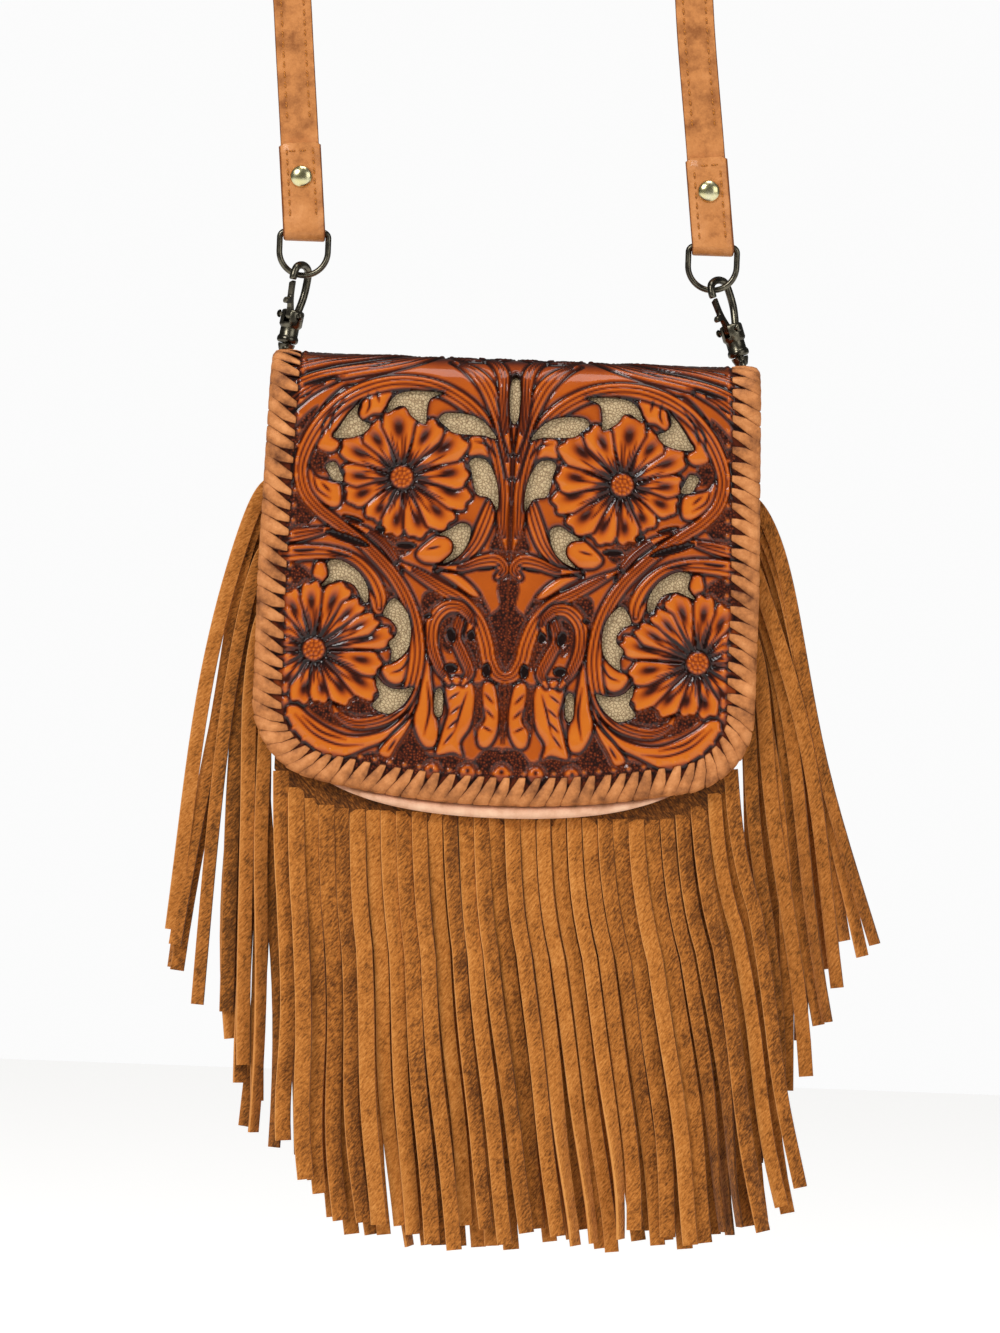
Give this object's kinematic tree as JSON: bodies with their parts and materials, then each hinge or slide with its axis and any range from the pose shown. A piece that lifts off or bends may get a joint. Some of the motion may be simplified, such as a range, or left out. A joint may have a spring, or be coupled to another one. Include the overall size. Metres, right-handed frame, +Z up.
{
  "type": "fringed suede bag",
  "caption": "Suede shoulder bag with a carved leather flap over foil inlay, laced edges, long suede fringe and a clip-on leather strap.",
  "frame": {"origin": "middle of the strap's inner face at its highest point, where it hangs on a peg, hook or shoulder", "axes": "+Z up, front of the bag with its flap towards -Y, +X to the right as seen from the front"},
  "size_m": [0.2919, 0.0774, 0.6738],
  "materials": {
    "golden_tan_suede": "napped",
    "shaded_suede": "napped",
    "lining_leather": "matte",
    "carved_orange_leather": "lacquered",
    "champagne_foil_leather": "metallic",
    "natural_leather": "matte",
    "lace_leather": "matte",
    "strap_leather": "satin",
    "tab_leather": "satin",
    "gunmetal": "dark polished",
    "pale_brass": "polished"
  },
  "bodies": {
    "bag": {"front_panel": "golden_tan_suede", "back_panel": "golden_tan_suede", "gusset": "golden_tan_suede", "pouch_lining": "lining_leather", "flap_back_strip": "carved_orange_leather", "magnet_socket": "pale_brass", "fringe_front": "golden_tan_suede", "fringe_under": "shaded_suede", "fringe_left": "shaded_suede", "fringe_right": "shaded_suede", "tab_left": "tab_leather", "tab_right": "tab_leather", "swivel_eye_left": "gunmetal", "swivel_eye_right": "gunmetal", "strap": "strap_leather", "strap_rivet_left": "pale_brass", "strap_rivet_right": "pale_brass"},
    "flap": {"flap_carved_panel": "carved_orange_leather", "flap_inlay": "champagne_foil_leather", "flap_lining": "natural_leather", "flap_lace": "lace_leather", "magnet_stud": "pale_brass"},
    "hook_left": {"hook_body_left": "gunmetal", "hook_pin_left": "gunmetal"},
    "hook_right": {"hook_body_right": "gunmetal", "hook_pin_right": "gunmetal"},
    "gate_left": {"hook_gate_left": "gunmetal"},
    "gate_right": {"hook_gate_right": "gunmetal"},
    "ring_left": {"strap_ring_left": "gunmetal"},
    "ring_right": {"strap_ring_right": "gunmetal"}
  },
  "joints": [
    {"name": "flap_fold", "type": "hinge", "parent": "bag", "child": "flap", "pos_m": [0, -0.016, -0.3114], "axis": [-1, 0, 0], "range_deg": [0, 90]},
    {"name": "swivel_left", "type": "hinge", "parent": "bag", "child": "hook_left", "pos_m": [-0.09623, 0, -0.30352], "axis": [0.1689, 0, 0.9856], "range_deg": [-15, 15]},
    {"name": "swivel_right", "type": "hinge", "parent": "bag", "child": "hook_right", "pos_m": [0.0931, 0, -0.30227], "axis": [-0.3182, 0, 0.948], "range_deg": [-10, 15]},
    {"name": "gate_spring_left", "type": "hinge", "parent": "hook_left", "child": "gate_left", "pos_m": [-0.09518, -0.00199, -0.29193], "axis": [-0.8933, 0.4226, 0.1531], "range_deg": [0, 20], "stiffness_Nm_per_rad": 0.02, "springref_deg": -28.65},
    {"name": "gate_spring_right", "type": "hinge", "parent": "hook_right", "child": "gate_right", "pos_m": [0.08821, -0.0018, -0.29167], "axis": [-0.7766, 0.5736, -0.2607], "range_deg": [0, 20], "stiffness_Nm_per_rad": 0.02, "springref_deg": -28.65},
    {"name": "ring_swing_left", "type": "hinge", "parent": "bag", "child": "ring_left", "pos_m": [-0.0906, 0, -0.25675], "axis": [1, 0, 0], "range_deg": [-4, 4]},
    {"name": "ring_swing_right", "type": "hinge", "parent": "bag", "child": "ring_right", "pos_m": [0.0804, 0, -0.25675], "axis": [1, 0, 0], "range_deg": [-3, 3]}
  ]
}
